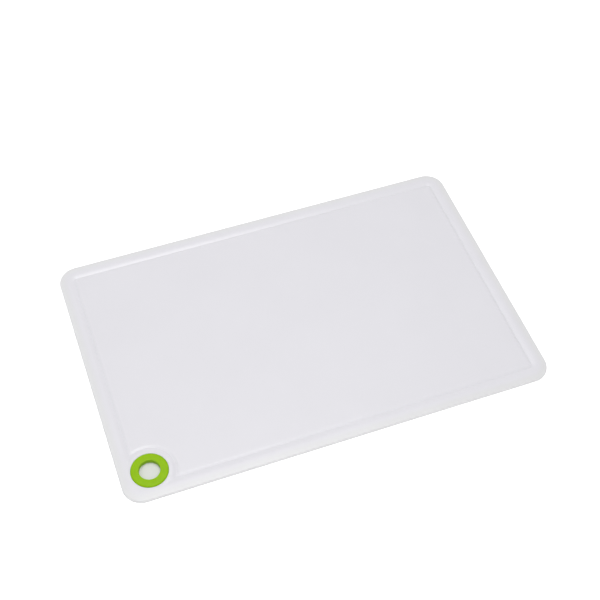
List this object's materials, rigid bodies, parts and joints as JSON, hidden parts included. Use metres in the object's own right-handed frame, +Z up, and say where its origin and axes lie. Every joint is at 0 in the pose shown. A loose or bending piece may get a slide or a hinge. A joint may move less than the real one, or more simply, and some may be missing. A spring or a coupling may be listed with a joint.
{
  "type": "cutting board",
  "caption": "Thin rectangular plastic cutting board with rounded corners, a raised rim, a juice groove round a flat cutting field, and a soft ring lining a corner hole to hang it by.",
  "frame": {"origin": "centre of the board's underside, on the surface it lies on", "axes": "+X along the long side, +Y along the short side, +Z up out of the cutting field; the ring is in the corner at -X, -Y"},
  "size_m": [0.36, 0.239, 0.0044],
  "materials": {
    "board_plastic": "satin white polyolefin with a very fine moulded texture",
    "ring_rubber": "satin lime green thermoplastic elastomer"
  },
  "bodies": {
    "root": {"board": "board_plastic", "hanging_ring": "ring_rubber"}
  },
  "joints": []
}
